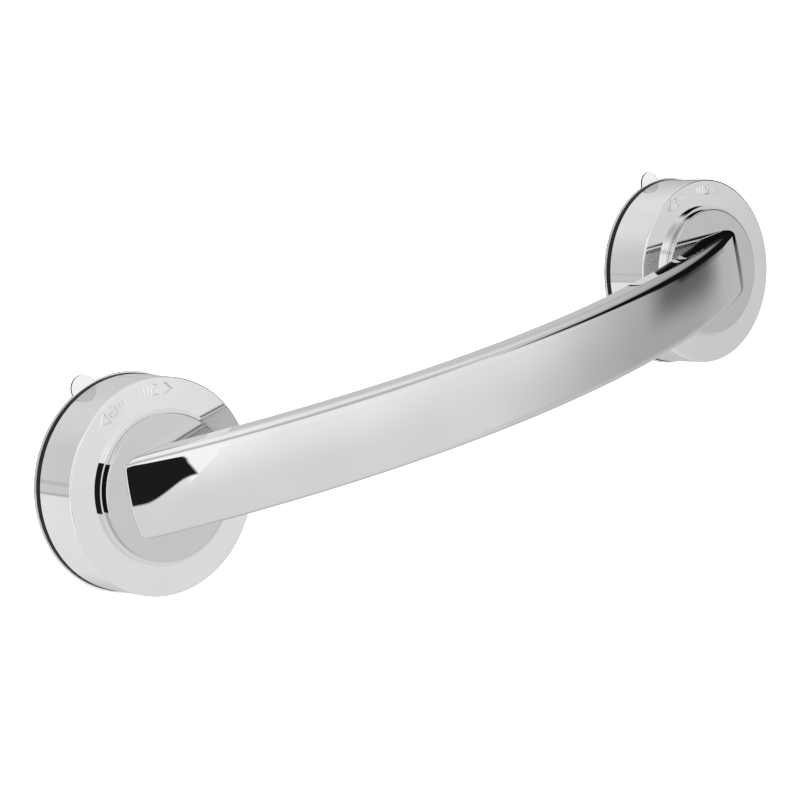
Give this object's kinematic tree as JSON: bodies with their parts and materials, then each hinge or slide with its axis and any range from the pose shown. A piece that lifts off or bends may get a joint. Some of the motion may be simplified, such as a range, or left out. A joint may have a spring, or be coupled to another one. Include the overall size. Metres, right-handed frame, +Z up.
{
  "type": "suction grab bar",
  "caption": "Curved plated grab bar held to a smooth wall by a suction cup at each end; turning a round dial draws its cup off the wall and locks it.",
  "frame": {"origin": "on the wall plane, halfway between the axes of the two suction cups", "axes": "+X along the bar towards the right cup as seen from the room, +Y into the wall, +Z up"},
  "size_m": [0.4554, 0.0851, 0.1043],
  "materials": {
    "chrome_plate": "mirror chrome plating on moulded plastic",
    "black_rubber": "satin black rubber",
    "clear_vinyl": "soft translucent vinyl",
    "grey_plastic": "moulded, fine texture",
    "white_acetal": "smooth, waxy",
    "zinc_steel": "bright zinc plated"
  },
  "bodies": {
    "frame": {"bar_back_cover": "chrome_plate", "bar_front_shell": "chrome_plate", "cover_screw_1": "zinc_steel", "cover_screw_2": "zinc_steel", "cover_screw_3": "zinc_steel", "cover_screw_4": "zinc_steel", "left_bar_screw_1": "zinc_steel", "left_bar_screw_2": "zinc_steel", "left_base_plate": "grey_plastic", "left_base_screw_1": "zinc_steel", "left_base_screw_2": "zinc_steel", "left_base_screw_3": "zinc_steel", "left_base_screw_4": "zinc_steel", "left_boss_cap": "chrome_plate", "left_boss_collar": "chrome_plate", "left_end_block": "grey_plastic", "left_rim_seal": "black_rubber", "left_slip_washer": "white_acetal", "left_suction_cup": "clear_vinyl", "right_bar_screw_1": "zinc_steel", "right_bar_screw_2": "zinc_steel", "right_base_plate": "grey_plastic", "right_base_screw_1": "zinc_steel", "right_base_screw_2": "zinc_steel", "right_base_screw_3": "zinc_steel", "right_base_screw_4": "zinc_steel", "right_boss_cap": "chrome_plate", "right_boss_collar": "chrome_plate", "right_end_block": "grey_plastic", "right_rim_seal": "black_rubber", "right_slip_washer": "white_acetal", "right_suction_cup": "clear_vinyl"},
    "left_dial": {"left_lock_dial": "chrome_plate"},
    "left_lifter": {"left_plunger": "white_acetal", "left_lift_yoke": "zinc_steel", "left_yoke_pin": "zinc_steel"},
    "right_dial": {"right_lock_dial": "chrome_plate"},
    "right_lifter": {"right_plunger": "white_acetal", "right_lift_yoke": "zinc_steel", "right_yoke_pin": "zinc_steel"}
  },
  "joints": [
    {"name": "left_dial_turn", "type": "hinge", "parent": "frame", "child": "left_dial", "pos_m": [-0.1784, 0, 0], "axis": [0, 1, 0], "range_deg": [0, 90]},
    {"name": "left_plunger_lift", "type": "slide", "parent": "frame", "child": "left_lifter", "axis": [0, -1, 0], "range_m": [0, 0.003], "deforming": ["left_suction_cup"]},
    {"name": "right_dial_turn", "type": "hinge", "parent": "frame", "child": "right_dial", "pos_m": [0.1784, 0, 0], "axis": [0, 1, 0], "range_deg": [0, 90]},
    {"name": "right_plunger_lift", "type": "slide", "parent": "frame", "child": "right_lifter", "axis": [0, -1, 0], "range_m": [0, 0.003], "deforming": ["right_suction_cup"]}
  ],
  "couplings": [
    {"joint": "left_plunger_lift", "follows": "left_dial_turn", "m_per_rad": 0.0019099},
    {"joint": "right_plunger_lift", "follows": "right_dial_turn", "m_per_rad": 0.0019099}
  ]
}
